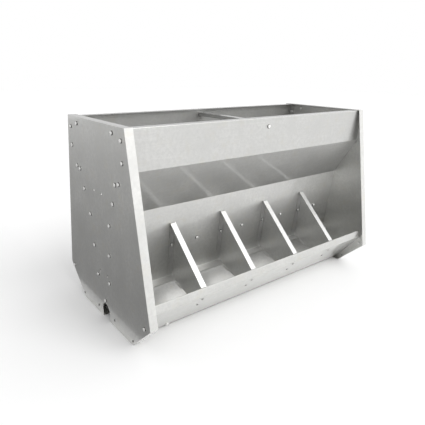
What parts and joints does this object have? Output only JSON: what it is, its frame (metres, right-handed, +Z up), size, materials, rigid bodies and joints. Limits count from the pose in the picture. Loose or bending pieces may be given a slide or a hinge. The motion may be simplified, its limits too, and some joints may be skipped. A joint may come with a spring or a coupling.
{
  "type": "trough feeder",
  "caption": "Double-sided trough feeder in folded stainless sheet: a hopper over a trough that dividers split into feeding places, with sliding feed gates.",
  "frame": {"origin": "on the ground under the middle of the feeder", "axes": "+X along the trough to the right end panel, -Y to the front feeding places, +Z up"},
  "size_m": [1.1336, 0.62, 0.7],
  "materials": {
    "panel_steel": "satin, cold rolled",
    "hopper_steel": "satin, cold rolled",
    "trough_steel": "satin, cold rolled",
    "divider_steel": "satin, cold rolled",
    "gate_steel": "satin, cold rolled",
    "fastener_steel": "bright, turned"
  },
  "bodies": {
    "frame": {"back_brace_bolt": "fastener_steel", "back_divider_1": "divider_steel", "back_divider_2": "divider_steel", "back_divider_3": "divider_steel", "back_divider_4": "divider_steel", "back_divider_bolt_1": "fastener_steel", "back_divider_bolt_2": "fastener_steel", "back_divider_bolt_3": "fastener_steel", "back_divider_bolt_4": "fastener_steel", "back_feed_board": "hopper_steel", "back_foot_rivet_1_lower": "fastener_steel", "back_foot_rivet_1_upper": "fastener_steel", "back_foot_rivet_2_lower": "fastener_steel", "back_foot_rivet_2_upper": "fastener_steel", "back_foot_rivet_3_lower": "fastener_steel", "back_foot_rivet_3_upper": "fastener_steel", "back_foot_rivet_4_lower": "fastener_steel", "back_foot_rivet_4_upper": "fastener_steel", "back_gate_bolt_1": "fastener_steel", "back_gate_bolt_2": "fastener_steel", "back_gate_bolt_3": "fastener_steel", "back_gate_bolt_4": "fastener_steel", "back_gate_bolt_5": "fastener_steel", "back_hopper_sheet": "hopper_steel", "drain_plug": "fastener_steel", "front_brace_bolt": "fastener_steel", "front_divider_1": "divider_steel", "front_divider_2": "divider_steel", "front_divider_3": "divider_steel", "front_divider_4": "divider_steel", "front_divider_bolt_1": "fastener_steel", "front_divider_bolt_2": "fastener_steel", "front_divider_bolt_3": "fastener_steel", "front_divider_bolt_4": "fastener_steel", "front_feed_board": "hopper_steel", "front_foot_rivet_1_lower": "fastener_steel", "front_foot_rivet_1_upper": "fastener_steel", "front_foot_rivet_2_lower": "fastener_steel", "front_foot_rivet_2_upper": "fastener_steel", "front_foot_rivet_3_lower": "fastener_steel", "front_foot_rivet_3_upper": "fastener_steel", "front_foot_rivet_4_lower": "fastener_steel", "front_foot_rivet_4_upper": "fastener_steel", "front_gate_bolt_1": "fastener_steel", "front_gate_bolt_2": "fastener_steel", "front_gate_bolt_3": "fastener_steel", "front_gate_bolt_4": "fastener_steel", "front_gate_bolt_5": "fastener_steel", "front_hopper_sheet": "hopper_steel", "hopper_brace": "gate_steel", "left_back_rim_bolt": "fastener_steel", "left_end_panel": "panel_steel", "left_front_rim_bolt": "fastener_steel", "right_back_rim_bolt": "fastener_steel", "right_end_panel": "panel_steel", "right_front_rim_bolt": "fastener_steel", "trough_pan": "trough_steel"},
    "front_gate": {"front_feed_gate": "gate_steel"},
    "back_gate": {"back_feed_gate": "gate_steel"}
  },
  "joints": [
    {"name": "front_gate_slide", "type": "slide", "parent": "frame", "child": "front_gate", "axis": [0, 0.114, -0.9935], "range_m": [0, 0.07]},
    {"name": "back_gate_slide", "type": "slide", "parent": "frame", "child": "back_gate", "axis": [0, -0.114, -0.9935], "range_m": [0, 0.07]}
  ]
}
